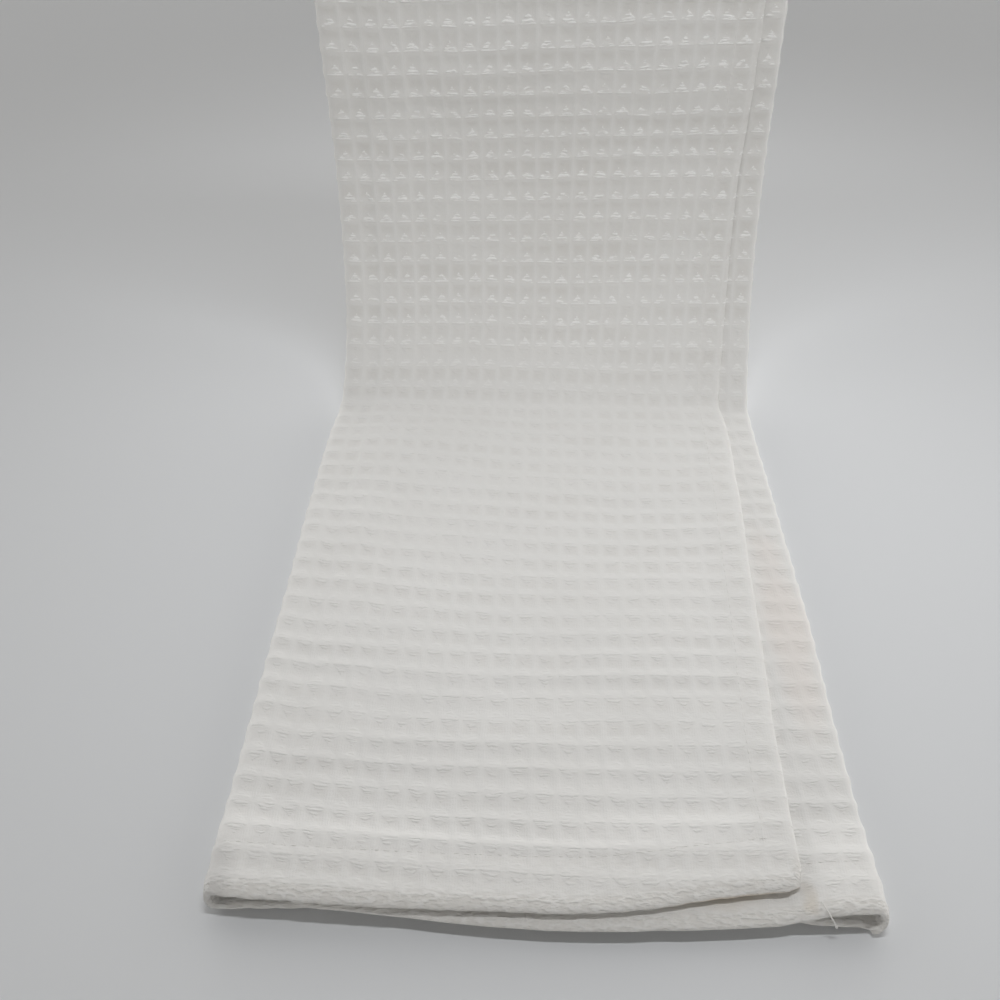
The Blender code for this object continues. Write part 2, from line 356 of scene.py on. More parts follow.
def strip(stretch, share, distance):
    """The middle of the cloth's thickness: its place across, its height over the underside, the direction out
    of the outer side (across and up), its thickness, its distance along the side view, and its row."""
    left, inner, hem, right = (curve_through(PLAN, c, distance) for c in (1, 2, 3, 4))
    ends = fade(np.minimum(distance, TOWEL_LENGTH - distance), END_HEM - HEM_STEP, END_HEM + END_STEP)
    sheet = SHEET + (HEM - SHEET) * ends
    spacing = LAYER_SPACING + (HEM_SPACING - LAYER_SPACING) * ends
    low = sheet / 2
    lift = CORNER_LIFT * fade(distance, 0, CORNER_REACH)
    loose = fade(distance, *SWELL_ENDS) * (1 - ends)

    def top_height(across):
        wave = np.sin(2 * np.pi * across / SWELL_ACROSS + 1.0) * np.sin(2 * np.pi * distance / SWELL_ALONG)
        return low + 2 * spacing + LOOSE_SWELL * (1 + wave) * loose * fade(across - left, SWELL_IN, 0)

    def middle_height(across):
        return low + spacing + lift * fade(right - across, CORNER_START / 2, CORNER_START)

    def hem_thickness(from_hem):
        return sheet + (HEM - sheet) * fade(from_hem, HEM_WIDTH - HEM_STEP, HEM_WIDTH + SIDE_STEP)

    left_radius = (top_height(left) - low) / 2
    right_radius = (middle_height(right) - low) / 2
    left_bend = left + left_radius + sheet / 2
    right_bend = right - right_radius - sheet / 2
    level = np.zeros_like(distance + share)
    if stretch in ("left fold", "right fold"):
        on_left = stretch == "left fold"
        turn = np.radians(180 * share + (90 if on_left else -90))
        bend, radius, edge = (left_bend, left_radius, left) if on_left else (right_bend, right_radius, right)
        across, height = bend + radius * np.cos(turn), low + radius * (1 + np.sin(turn))
        out_across, out_up, thick = np.cos(turn), np.sin(turn), sheet + level
        first, last = (curve_through(FRONT_EDGES, c, edge) for c in ((1, 3) if on_left else (3, 2)))
        drawn = first + (last - first) * np.abs(out_up - (1 if on_left else -1)) / 2
    else:
        out_across = level
        if stretch == "top":
            across = hem + (left_bend - hem) * share
            height, out_up, thick = top_height(across), level + 1, hem_thickness(hem - across)
            height = height + loose_shape(across, distance, inner, left) * (1 - ends)
            drawn = curve_through(FRONT_EDGES, 1, across)
        elif stretch == "bottom":
            across = left_bend + (right_bend - left_bend) * share
            height, out_up, thick = low + level, level - 1, sheet + level
            drawn = curve_through(FRONT_EDGES, 3, across)
        else:
            across = right_bend + (inner - right_bend) * share
            height, out_up, thick = middle_height(across), level + 1, hem_thickness(across - inner)
            drawn = curve_through(FRONT_EDGES, 2, across)
    height = height + curve_through(HANGING_WAVES, 1, distance)
    along = distance + drawn * fade(distance, 0, FRONT_FADE)
    return across, height, out_across, out_up, thick, along, rows_at(stretch, share, along)


def loose_shape(across, distance, inner, left):
    """How the loose top layer rises and sinks: low ripples along its rows, and the print of the inner hem."""
    lying = fade(distance, *RIPPLE_LYING)
    ripple = soft_noise(across / RIPPLE_SIZE[0] + 3.3, distance / RIPPLE_SIZE[1], 11)
    broad = soft_noise(across / BROAD_SIZE[0] + 8.1, distance / BROAD_SIZE[1] + 2.7, 12)
    held = fade(across - left, *RIPPLE_HELD)
    shape = RIPPLE * (0.25 + 0.75 * lying) * (0.6 * ripple + 0.5 * broad) * held
    one_side, other_side = PRINT_SIDES
    over_hem = fade(inner - across, 0.0, one_side) * fade(across - inner - HEM_WIDTH, 0.0, other_side)
    beside = fade(across - inner, *DENT_SIDES[0]) * fade(left - across, *DENT_SIDES[1])
    return shape + PRINT_RISE * over_hem - PRINT_DENT * beside * (0.5 + 0.5 * lying)


def on_cloth(cells, distance, side, depth=0.0, rounding=True):
    """Points on the cloth, at side 1 for its outer surface, -1 for its inner one and 0 for its middle, sunk in
    by depth. Returns their places, the directions out, and the rows that they lie in."""
    cells, distance, side, depth = np.broadcast_arrays(
        *(np.asarray(v, float) for v in (cells, distance, side, depth))
    )
    if rounding:
        cells, distance = round_corners(cells, distance)
    which = np.clip(np.searchsorted(STARTS, cells, side="right") - 1, 0, len(STRETCHES) - 1)
    place, out, row = np.zeros((*cells.shape, 3)), np.zeros((*cells.shape, 3)), np.zeros(cells.shape)
    for index, (stretch, length) in enumerate(STRETCHES):
        here = which == index
        if not here.any():
            continue
        share = (cells[here] - STARTS[index]) / length
        across, height, out_across, out_up, thick, along, count = strip(stretch, share, distance[here])
        # The yarns wander a little, lengthwise and crosswise.
        half = TOWEL_LENGTH / 2
        inward = fade(np.abs(distance[here] - half), half - WOBBLE_ENDS, half)
        sideways = (WOBBLE * soft_noise(cells[here] / WOBBLE_UP[0], count / WOBBLE_UP[1], 21)
                    + JITTER * soft_noise(cells[here], count, 23))
        lengthways = (WOBBLE * soft_noise(cells[here] / WOBBLE_ACROSS[0] + 9.0, count / WOBBLE_ACROSS[1], 22)
                      + JITTER * soft_noise(cells[here] + 0.5, count + 0.5, 24))
        across = across + inward * sideways * np.abs(out_up)
        along = along + inward * lengthways
        back, up, slope = side_view(along)
        offset = side[here] * thick / 2 - depth[here]
        rise = height + offset * out_up
        place[here] = np.stack(
            [across + offset * out_across, back - rise * np.sin(slope), up + rise * np.cos(slope)], -1
        )
        out[here] = np.stack([out_across, -out_up * np.sin(slope), out_up * np.cos(slope)], -1)
        row[here] = count
    return place - ORIGIN, out, row


def round_corners(cells, distance):
    """Draws in the four corners of the cloth to round ones."""
    from_side, from_end = from_edges(cells, distance)
    a, b = np.maximum(CORNER_ROUND - from_side, 1e-9), np.maximum(CORNER_ROUND - from_end, 1e-9)
    near = (a > 1e-8) & (b > 1e-8)
    shrink = np.where(near, np.maximum(a, b) / np.hypot(a, b), 1.0)
    inward_cells = np.where(near, (a - a * shrink) / CELL, 0)
    inward = np.where(near, b - b * shrink, 0)
    cells = cells + np.where(cells < LAST_CELL / 2, inward_cells, -inward_cells)
    distance = distance + np.where(distance < TOWEL_LENGTH / 2, inward, -inward)
    return cells, distance


def own_origin():
    """What puts the strip in the frame: its left fold and its front edge touch the sides of the solid's box."""
    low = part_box("dish_towel")[0]
    across = np.linspace(FRONT_EDGES[0][0], FRONT_EDGES[-1][0], 400)
    front = min(curve_through(FRONT_EDGES, c, across).min() for c in (1, 2, 3))
    return np.array([PLAN[0][1] - low.x, front - low.y, 0.0])


ORIGIN = own_origin()


# ----------------------------
# The waffle


def from_edges(cells, distance):
    """How far a place lies in from the nearer long edge, and from the nearer end."""
    return np.minimum(cells, LAST_CELL - cells) * CELL, np.minimum(distance, TOWEL_LENGTH - distance)


def waffle(cells, rows):
    """How far the surface lies under the tops of the ridges, as a share of the whole relief, and how near it is
    to a crossing of two ridges, from 0 to 1."""
    u = np.abs((cells - FIRST_RIDGE) % 1 - 0.5) * 2
    v = np.abs((rows - ROW_RIDGE) % 1 - 0.5) * 2
    lying, hanging = LENGTHWISE
    lengthwise = hanging + (lying - hanging) * fade(rows, *BEND_ROWS)
    wall = ((lengthwise * u**NARROW) ** 8 + v**8) ** (1 / 8)
    slope = np.clip((RIDGE_TOP - wall) / (RIDGE_TOP - PIT_BOTTOM), 0, 1)
    return (1 - ROUND_SLOPE) * slope + ROUND_SLOPE * slope * slope * (3 - 2 * slope), (u * v) ** 4


def cell_depth(cells, rows):
    """The cells are not all as deep: some rows are pulled flatter than others."""
    by_row = soft_noise(cells / 14.0 + 5.0, rows + 0.5, 31)
    by_cell = soft_noise(cells, rows, 32)
    depth = 1 + DEPTH_BY_ROW * by_row + DEPTH_BY_CELL * by_cell
    for row, reach, first, last, deeper in PULLED:
        # Noise makes the ends of a pulled row fray.
        end = 1.5 + 0.8 * soft_noise(rows * 0.7, cells * 0.3 + row, 33)
        inside = fade(first - cells, 0, end) * fade(cells - last, 0, end)
        depth = depth + deeper * bell(rows - row, reach) * inside
    return depth


def hem_share(cells, distance):
    """1 on the hems, 0 on the plain weave."""
    from_side, from_end = from_edges(cells, distance)
    return np.maximum(
        fade(from_side, HEM_WIDTH - HEM_STEP, HEM_WIDTH + HEM_STEP),
        fade(from_end, END_HEM - HEM_STEP, END_HEM + HEM_STEP),
    )


def fluff(cells, distance):
    """0 on the plain weave, more on the hems and 1 at the two ends, where yarns are worn into small loops."""
    at_edge = fade(from_edges(cells, distance)[1], *WORN_IN)
    return HEM_FLUFF * hem_share(cells, distance) + (1 - HEM_FLUFF) * at_edge


def seam_depth(cells, distance):
    """The low groove that each line of stitches pulls in."""
    from_side, from_end = from_edges(cells, distance)
    along_side = bell(from_side - SEAM, SEAM_SPREAD) * (from_end > END_SEAM - SEAM_SPREAD)
    along_end = bell(from_end - END_SEAM, SEAM_SPREAD) * (from_side > SEAM - SEAM_SPREAD)
    return SEAM_DEPTH * np.maximum(along_side, along_end)


def surface_depth(cells, distance, rows):
    """How far the outer surface lies in from the full thickness of the cloth."""
    pit, crossing = waffle(cells, rows)
    relief = 1 - (1 - PRESSED) * hem_share(cells, distance)
    depth = RELIEF * pit * cell_depth(cells, rows) + CROSSING_DIP * crossing
    depth = depth + EDGE_ROUGH * (1 + soft_noise(cells * 2.3, rows * 2.3, 34)) * 0.5
    return np.minimum(depth * relief + seam_depth(cells, distance), DEEPEST)


# ----------------------------
# The cloth's mesh


def thin_out(lines, keep):
    """Sorted lines, without those that lie very close to one that is kept."""
    lines = np.array(sorted(lines))
    near = np.min(np.abs(lines[:, None] - np.array(keep)[None]), axis=1) < LINE_GAP
    return np.array(sorted([*lines[~near], *keep]))


def cell_lines(first, last, cuts, ridge):
    whole = np.arange(np.floor(first) - 1, np.ceil(last) + 1)
    lines = (whole[:, None] + np.array(cuts)[None] + ridge % 1).ravel()
    return lines[(lines > first) & (lines < last)]


def at_cuts(lines, cuts, ridge):
    """Which of these lines lie at one of the cuts of their cell."""
    share = (lines[:, None] - ridge - np.array(cuts)[None] + 0.5) % 1 - 0.5
    return np.min(np.abs(share), axis=1) < 0.001


def lines_up():
    """The counts of cells at which lines of the mesh run up the cloth; how many crosswise lines each has, as 2
    for all, 1 for those of the back and 0 for the fewest; and whether it goes on above the fine rows."""
    edge, seam, spread = SIDE_ROUND[0] / CELL, SEAM / CELL, SEAM_SPREAD / CELL
    left, left_end, right, middle = STARTS[1:5]
    wrap, shown = left_end + 1, middle + VISIBLE_MIDDLE
    seams = np.array([seam - spread, seam, seam + spread])
    keep = [edge, *seams, left, left_end, right, middle, *(LAST_CELL - seams), LAST_CELL - edge]
    keep += list(np.linspace(right, middle, 9)[1:-1])
    parts = [(edge, wrap, CUTS_UP), (wrap, right - 1, HIGH_CUTS_UP), (right - 1, right, CUTS_UP),
             (middle, shown, CUTS_UP), (shown, LAST_CELL - edge, (0.0,))]
    lines = thin_out([line for part in parts for line in cell_lines(*part, FIRST_RIDGE)], keep)
    fine = np.full(len(lines), 2)
    fine[(lines > wrap) & (lines < right - 1)] = 1
    fine[lines > shown] = 0
    goes_on = at_cuts(lines, HIGH_CUTS_UP, FIRST_RIDGE) | np.isin(lines, keep)
    goes_on |= (lines > left - 0.5) & (lines < left_end + 0.5)
    return lines, fine, goes_on


def lines_across():
    """The rows at which lines of the mesh run across, the fewest-lines mark that each is still there for, and
    how many of them are in the fine rows."""
    first, last = 2.0 + ROW_RIDGE, np.floor(top_row()) - 2 + ROW_RIDGE
    low = cell_lines(first - 0.01, FINE_ROWS + ROW_RIDGE, CUTS_ACROSS, ROW_RIDGE)
    high = cell_lines(FINE_ROWS + ROW_RIDGE - 0.01, last + 0.01, HIGH_CUTS_ACROSS, ROW_RIDGE)
    rows = np.concatenate([low, high])
    needs = np.full(len(rows), 2)
    needs[at_cuts(rows, BACK_CUTS_ACROSS, ROW_RIDGE) & (rows > LYING_ROWS)] = 1
    in_bend = (rows > BEND_ROWS[0]) & (rows < BEND_ROWS[1]) & at_cuts(rows, BACK_CUTS_ACROSS, ROW_RIDGE)
    needs[at_cuts(rows, (0.0,), ROW_RIDGE) | in_bend] = 0
    return rows, needs, len(low)


def top_row():
    return float(rows_at("top", np.array(0.0), np.array(TOWEL_LENGTH - END_HEM - HEM_STEP)))


def end_lines(steps, joining):
    """The lines along a hem across an end, from the rounding of its edge to the plain weave, as distances in;
    shares of the way from there to the first row; and the fewest-lines marks of all of these."""
    hem = np.linspace(END_ROUND[0], END_SEAM - 2 * SEAM_SPREAD, steps)
    seam = END_SEAM + SEAM_SPREAD * np.array([-1, 0, 1])
    lines = np.concatenate([hem, seam, [END_HEM + 0.4 * HEM_STEP, END_HEM + HEM_STEP]])
    needs = np.full(len(lines) + joining, 2)
    needs[[0, steps // 2, steps + 1, len(lines) - 1]] = 0
    return lines, np.linspace(0, 1, joining + 2)[1:-1], needs


def crossings(lines):
    """How far up the cloth each crossing of the mesh's lines lies, the marks of the crosswise lines, and which
    of these ends the fine rows. They follow the hems at both ends, and the rows of the weave between them."""
    rows, needs, low = lines_across()
    front, from_front, front_needs = end_lines(*FRONT_LINES)
    top, from_top, top_needs = end_lines(*TOP_LINES)
    fine = np.arange(0, TOWEL_LENGTH + SEARCH_STEP, SEARCH_STEP)
    columns = []
    for cell in lines:
        count = on_cloth(np.full(len(fine), cell), fine, 0, rounding=False)[2]
        woven = np.interp(rows, count, fine)
        start = front[-1] + (woven[0] - front[-1]) * from_front
        end = TOWEL_LENGTH - top[::-1]
        finish = woven[-1] + (end[0] - woven[-1]) * from_top
        columns.append(np.concatenate([front, start, woven, finish, end]))
    return np.array(columns).T, np.concatenate([front_needs, needs, top_needs[::-1]]), len(front_needs) + low


def build_cloth():
    lines, fine, goes_on = lines_up()
    distance, needs, change = crossings(lines)
    count, last = distance.shape[0], len(lines) - 1
    grid_cells = np.broadcast_to(lines, distance.shape)
    kept = needs[:, None] <= fine[None]
    kept[change + 1:, ~goes_on] = False
    outer_index = np.full(distance.shape, -1)
    outer_index[kept] = np.arange(kept.sum())
    cells, up = grid_cells[kept], distance[kept]
    row = on_cloth(cells, up, 1)[2]
    places, _, _ = on_cloth(cells, up, 1, surface_depth(cells, up, row))
    pieces = [(places, cells, row, fluff(cells, up))]
    total = len(places)

    # The boundary, in order round the cloth, as crossings of the mesh's lines.
    ring = [(0, k) for k in range(last)] + [(r, last) for r in range(count - 1)]
    ring += [(count - 1, k) for k in range(last, 0, -1)] + [(r, 0) for r in range(count - 1, 0, -1)]
    ring = np.array([crossing for crossing in ring if kept[crossing]])
    ring_index = [outer_index[ring[:, 0], ring[:, 1]]]
    from_end = from_edges(0, distance[ring[:, 0], ring[:, 1]])[1]
    worn = HEM_FLUFF + (1 - HEM_FLUFF) * fade(from_end, *WORN_ROUND)
    for angle in np.radians(np.linspace(90, -90, EDGE_STEPS + 1))[1:]:
        places, cells, row = rim(ring, lines, distance, angle)
        pieces.append((places, cells, row, worn))
        ring_index.append(total + np.arange(len(ring)))
        total += len(ring)

    # The inner side, which shows only at the edges, has few lines.
    columns = np.array([k for k in range(last + 1) if inner_line(lines[k]) or k in (0, last)])
    rows = np.flatnonzero(needs == 0)
    inner_index = np.full(distance.shape, -1)
    inner_index[ring[:, 0], ring[:, 1]] = ring_index[-1]
    inside = np.zeros(distance.shape, bool)
    inside[np.ix_(rows[1:-1], columns[1:-1])] = True
    inner_index[inside] = total + np.arange(inside.sum())
    places, _, row = on_cloth(grid_cells[inside], distance[inside], -1)
    pieces.append((places, grid_cells[inside], row, fluff(grid_cells[inside], distance[inside])))

    faces = outer_faces(outer_index[:change + 1], np.arange(last + 1))
    faces += outer_faces(outer_index[change:], np.flatnonzero(goes_on))
    for one, two in zip(ring_index, ring_index[1:]):
        faces += [[one[i - 1], one[i], two[i], two[i - 1]] for i in range(len(ring))]
    faces += inner_faces(inner_index, rows, columns)
    return new_cloth(pieces, faces)


def rim(ring, lines, distance, angle):
    """One line of points round the cloth's edge, at this angle up from the middle of its thickness."""
    rows, columns = ring.T
    cells, up = lines[columns].copy(), distance[rows, columns].copy()
    side_in, end_in = (reach[0 if angle >= 0 else 1] * (1 - np.cos(angle)) for reach in (SIDE_ROUND, END_ROUND))
    cells[columns == 0], cells[columns == len(lines) - 1] = side_in / CELL, LAST_CELL - side_in / CELL
    bulge = EDGE_SCALLOP * np.cos(angle) * (
        0.6 * np.cos(2 * np.pi * (cells - FIRST_RIDGE - 0.5)) + soft_noise(cells * 1.7, cells * 0 + 0.5, 35))
    at_front, at_top = rows == 0, rows == len(distance) - 1
    up[at_front] = end_in - bulge[at_front]
    up[at_top] = TOWEL_LENGTH - end_in + bulge[at_top]
    # The cells go on over the rounding and die away on its front.
    row = on_cloth(cells, up, 1)[2]
    rough = EDGE_ROUGH * (1 + soft_noise(cells * 4.1, up * 900 + angle * 3, 36))
    deep = DEEP_OVER_EDGE * surface_depth(cells, up, row) if angle > 0 else 0
    places, _, row = on_cloth(cells, up, np.sin(angle), (rough + deep) * np.sin(angle))
    return places, cells, row


def inner_line(cell):
    """Whether the inner side has a line here: one a cell, and every line round the two folds."""
    in_fold = STARTS[1] <= cell <= STARTS[2] or STARTS[3] <= cell <= STARTS[4]
    return in_fold or abs((cell - FIRST_RIDGE + 0.5) % 1 - 0.5) < 0.01


def one_face(index, low, high, left, right):
    """Goes round between two rows and two columns. Where a side has crossings between, they all go in."""
    sides = index[low, left:right], index[low:high, right], index[high, right:left:-1], index[high:low:-1, left]
    return [i for side in sides for i in side if i >= 0]


def outer_faces(index, columns):
    """Squares between neighbouring lines, as far as both have crossings in the same row."""
    faces = []
    for left, right in zip(columns, columns[1:]):
        both = np.flatnonzero((index[:, left] >= 0) & (index[:, right] >= 0))
        faces += [one_face(index, low, high, left, right) for low, high in zip(both, both[1:])]
    return faces


def inner_faces(index, rows, columns):
    return [one_face(index, low, high, left, right)
            for low, high in zip(rows, rows[1:]) for left, right in zip(columns, columns[1:])]


def new_cloth(pieces, faces):
    places, cells, rows, fluffs = (np.concatenate([piece[i] for piece in pieces]) for i in range(4))
    mesh = bpy.data.meshes.new("waffle_cloth")
    mesh.from_pydata(places.tolist(), [], [[int(i) for i in face] for face in faces])
    bm = bmesh.new()
    bm.from_mesh(mesh)
    bmesh.ops.recalc_face_normals(bm, faces=bm.faces)
    bm.to_mesh(mesh)
    bm.free()
    corner_of = np.zeros(len(mesh.loops), np.int32)
    mesh.loops.foreach_get("vertex_index", corner_of)
    weave = mesh.uv_layers.new(name="weave")
    weave.uv.foreach_set("vector", np.stack([cells, rows], -1)[corner_of].astype(np.float32).ravel())
    fluffy = mesh.attributes.new("fluffy", "FLOAT", "POINT")
    fluffy.data.foreach_set("value", fluffs.astype(np.float32))
    mesh.shade_smooth()
    return new_object("waffle_cloth", mesh)


def new_object(name, data):
    thing = bpy.data.objects.new(name, data)
    bpy.context.scene.collection.objects.link(thing)
    return thing


# ----------------------------
# Nodes


class Socket:
    """An output socket in a node tree. Sums on it add Math nodes."""

    def __init__(self, tree, output):
        self.tree, self.output = tree, output

    def maths(self, operation, *values):
        return self.tree.add("ShaderNodeMath", *values, operation=operation)

    def __add__(self, other):
        return self.maths("ADD", self, other)

    def __sub__(self, other):
        return self.maths("SUBTRACT", self, other)

    def __rsub__(self, other):
        return self.maths("SUBTRACT", other, self)

    def __mul__(self, other):
        return self.maths("MULTIPLY", self, other)

    __radd__, __rmul__ = __add__, __mul__

    def fraction(self):
        return self.maths("FRACT", self)

    def size(self):
        return self.maths("ABSOLUTE", self)

    def most(self, other):
        return self.maths("MAXIMUM", self, other)

    def round_yarns(self):
        """1 along the middle of each yarn, where this counts the yarns, falling to 0 between two of them."""
        across = self.fraction() * 2 - 1
        return 1 - across * across


class Tree:
    """A node tree, with one method that adds any node to it."""

    def __init__(self, tree):
        self.tree = tree

    def add(self, kind, *values, output=0, named=None, **settings):
        """Adds a node: its settings first, then its sockets, in order or by name."""
        node = self.tree.nodes.new(kind)
        for setting, value in settings.items():
            setattr(node, setting, value)
        for socket, value in [*enumerate(values), *(named or {}).items()]:
            if isinstance(value, Socket):
                self.tree.links.new(value.output, node.inputs[socket])
            else:
                node.inputs[socket].default_value = value
        return Socket(self, node.outputs[output]) if len(node.outputs) else node


def split(tree, vector):
    """The first, second and third part of a vector."""
    parts = tree.add("ShaderNodeSeparateXYZ", vector)
    return [Socket(tree, output) for output in parts.output.node.outputs]


def between(tree, value, low, high, to_low=0.0, to_high=1.0):
    """A value's way from low to high, smoothly, as a way from to_low to to_high."""
    return tree.add("ShaderNodeMapRange", value, low, high, to_low, to_high, interpolation_type="SMOOTHSTEP")


def noise(tree, place, scale, detail=2.0):
    return tree.add("ShaderNodeTexNoise", named={"Vector": place, "Scale": scale, "Detail": detail})


def drawn_out_noise(tree, place, scales, detail):
    """Noise that has a scale of its own each way."""
    return noise(tree, tree.add("ShaderNodeMapping", place, named={"Scale": scales}), 1.0, detail)


def mixed(tree, share, one, two):
    return tree.add("ShaderNodeMix", named={0: share, 6: one, 7: two}, data_type="RGBA", output=2)


def new_material(name):
    material = bpy.data.materials.new(name)
    material.use_nodes = True
    material.node_tree.nodes.clear()
    return material, Tree(material.node_tree)


def finish_material(tree, colour, roughness, sheen, height, strength, relief):
    bump = tree.add("ShaderNodeBump", named={"Height": height, "Strength": strength, "Distance": relief})
    shader = tree.add("ShaderNodeBsdfPrincipled", named={
        "Base Color": colour, "Roughness": roughness, "Normal": bump, "Sheen Weight": sheen,
        "Sheen Roughness": 0.5, "Specular IOR Level": 0.2,
    })
    tree.add("ShaderNodeOutputMaterial", shader)


# ----------------------------
# The cotton

COTTON = (0.84, 0.832, 0.812, 1.0)
COTTON_SHADE_AND_WEAR = (0.74, 0.722, 0.69, 1.0)
COTTON_HIGHLIGHT = (0.98, 0.975, 0.96, 1.0)
THREAD_PALE = (0.84, 0.825, 0.80, 1.0)
THREAD_DEEP = (0.78, 0.765, 0.74, 1.0)
STAINS_AND_SHADE = [
    # middle, how far it reaches each way, how strong it is, colour: a pink stain, a painted shadow under the
    # top layer's front edge, and a gray patch at the left corner
    ((0.082, -0.032, 0.005), (0.009, 0.050, 0.020), 0.5, (0.83, 0.76, 0.71, 1.0)),
    ((0.048, -0.1265, 0.0073), (0.024, 0.0090, 0.0013), 0.7, (0.62, 0.51, 0.37, 1.0)),
    ((-0.0895, -0.1200, 0.0060), (0.0070, 0.0130, 0.0080), 0.45, (0.56, 0.55, 0.54, 1.0)),
]
PIT_SHADE_FAR = 0.13  # how far up its cell the painted shade in each pit lies where the cloth lies, as a share of a cell
WEFT_YARNS = 7  # in the height of a cell
WARP_YARNS = 9  # and in its width
FLOAT_REACH = 0.42  # half the length of the longest float, as a share of a cell
FLOAT_TAPER = 0.95  # how fast the floats get shorter, from a ridge to the bottom of a cell
FLOATS_STAND_OUT = ((0.30, 0.62), (1.0, 0.35))  # above and below a ridge: where they lie and where they hang
FLOATS_CHANGE = (24, 31)  # the rows from lying to hanging
YARN_HEIGHT = 0.00022  # of the bump
CRINKLE = 0.15  # how crooked the yarns are, as a share of a cell
CRINKLE_SCALES = (700.0, 560.0)  # of the crosswise floats' ends, and of the lengthwise ones'
WARP_SHOWS = 0.08  # the lengthwise floats are less plain to see than the crosswise ones
UNEVEN = (1.6, 6.0, 1.0)  # how often the floats' strength changes in a cell's width and height
BY_ROW = (0.09, 0.9, 1.0)  # and the painted shade in the pits
KNOBS = (430.0, 950.0, 950.0)  # small loops of yarn for each metre: they are longer across
FIBRES, WORN = 3600.0, 38.0  # loose fibres and broad worn patches, for each metre


def cotton_waffle():
    """White cotton. Crosswise yarns float on the crosswise ridges and lengthwise yarns on the lengthwise ones.
    The floats get shorter down each wall of a cell, and between them the weave is plain."""
    material, tree = new_material("white_waffle_cotton")
    weave = tree.add("ShaderNodeUVMap", uv_map="weave")
    cell, row, _ = split(tree, weave)
    place = tree.add("ShaderNodeTexCoord", output=3)
    fluffy = tree.add("ShaderNodeAttribute", output=2, attribute_name="fluffy")
    crinkle, crinkle_up = (noise(tree, place, scale) - 0.5 for scale in CRINKLE_SCALES)

    def lies_or_hangs(lies, hangs):
        return between(tree, row, *FLOATS_CHANGE, lies, hangs)

    u =(cell - (FIRST_RIDGE - 10)).fraction() - 0.5
    v = (row - (ROW_RIDGE - 10)).fraction() - 0.5
    aside, above = u.size(), v.size()
    longest = FLOAT_REACH - 0.5 * FLOAT_TAPER
    weft = between(tree, longest + above * FLOAT_TAPER - aside + crinkle * 0.16, -0.05, 0.08)
    warp = between(tree, longest + aside * FLOAT_TAPER - above + crinkle_up * 0.16, -0.05, 0.08) * WARP_SHOWS
    weft_yarns = (v * WEFT_YARNS + crinkle_up * (CRINKLE * WEFT_YARNS)).round_yarns()
    warp_yarns = (u * WARP_YARNS + crinkle * (CRINKLE * WARP_YARNS)).round_yarns()
    uneven = between(tree, drawn_out_noise(tree, weave, UNEVEN, 1.0), 0.36, 0.64)
    # Where the cloth hangs, the floats stand out above each ridge. Where it lies, they do so below it.
    above_ridge, below_ridge = (lies_or_hangs(*pair) for pair in zip(*FLOATS_STAND_OUT))
    stand_out = between(tree, v, 0.1, -0.1, below_ridge, above_ridge)
    yarns = (weft * weft_yarns * uneven * stand_out + warp * warp_yarns) * (1 - fluffy * 0.5)
    knobs = between(tree, drawn_out_noise(tree, place, KNOBS, 1.5), 0.34, 0.70)
    height = yarns + knobs * (fluffy * fluffy * 0.90 + 0.12) + noise(tree, place, FIBRES) * 0.18
    # Painted shade in the pits: where the cloth lies, the darker patch is in the far part of each cell, on the
    # wall that faces away from the light. Where the cloth hangs it is darker, and it changes from row to row.
    pit_shade_above = (v - lies_or_hangs(PIT_SHADE_FAR, 0.0)).size() * lies_or_hangs(1.2, 1.0)
    pit = between(tree, (aside * 0.85).most(pit_shade_above), 0.42, 0.15)
    by_row = drawn_out_noise(tree, weave, BY_ROW, 2.0)
    worn = noise(tree, place, WORN, 3.0)
    pit = pit * between(tree, by_row, 0.35, 0.65, 0.04, 0.30) * lies_or_hangs(1.0, 1.6)
    # The deeper cotton colour is painted shade in the pits and in the hollows between the loops of yarn. It
    # also gives broad worn patches and darkens the two ends' edges. The yarns' tops are painted a little
    # lighter than the gaps between them, as painted light and shade.
    deep =(pit + between(tree, worn, 0.35, 0.75) * 0.12
            + (1 - knobs) * (fluffy * 0.55 + 0.05) + fluffy * 0.35)
    colour = mixed(tree, deep - yarns * 0.10, COTTON, COTTON_SHADE_AND_WEAR)
    # Painted highlight: where the cloth hangs, the floats above the ridges, and the lengthwise ridges a little,
    # are painted brighter, as if lit from above.
    painted_highlight = between(tree, weft * weft_yarns * uneven, 0.08, 0.45) * between(tree, v, 0.1, -0.1)
    painted_highlight = painted_highlight.most(between(tree, aside + crinkle * 0.20, 0.40, 0.47) * 0.12)
    colour = mixed(tree, painted_highlight * lies_or_hangs(0.0, 1.0), colour, COTTON_HIGHLIGHT)
    # A pink stain, a painted shadow under the top layer's front edge and a gray patch at the left corner, each
    # a soft patch of its own colour.
    for centre, reach, full, stain_and_shade_colour in STAINS_AND_SHADE:
        away = tree.add("ShaderNodeVectorMath", place, centre, operation="SUBTRACT")
        away = tree.add("ShaderNodeVectorMath", away, reach, operation="DIVIDE")
        away = tree.add("ShaderNodeVectorMath", away, away, operation="DOT_PRODUCT", output=1)
        stain_and_shade = between(tree, away + (worn - 0.5) * 1.5, 1.2, 0.0, 0.0, full)
        colour = mixed(tree, stain_and_shade, colour, stain_and_shade_colour)
    finish_material(tree, colour, 0.92, 0.12, height, 1.0, YARN_HEIGHT)
    return material


def sewing_cotton():
    material, tree = new_material("white_sewing_thread")
    place = tree.add("ShaderNodeTexCoord", output=3)
    twist = noise(tree, place, 3000.0, 1.0)
    colour = mixed(tree, twist, THREAD_PALE, THREAD_DEEP)
    finish_material(tree, colour, 0.75, 0.1, twist, 0.5, 0.0001)
    return material


# ----------------------------
# The stitches and the loose thread


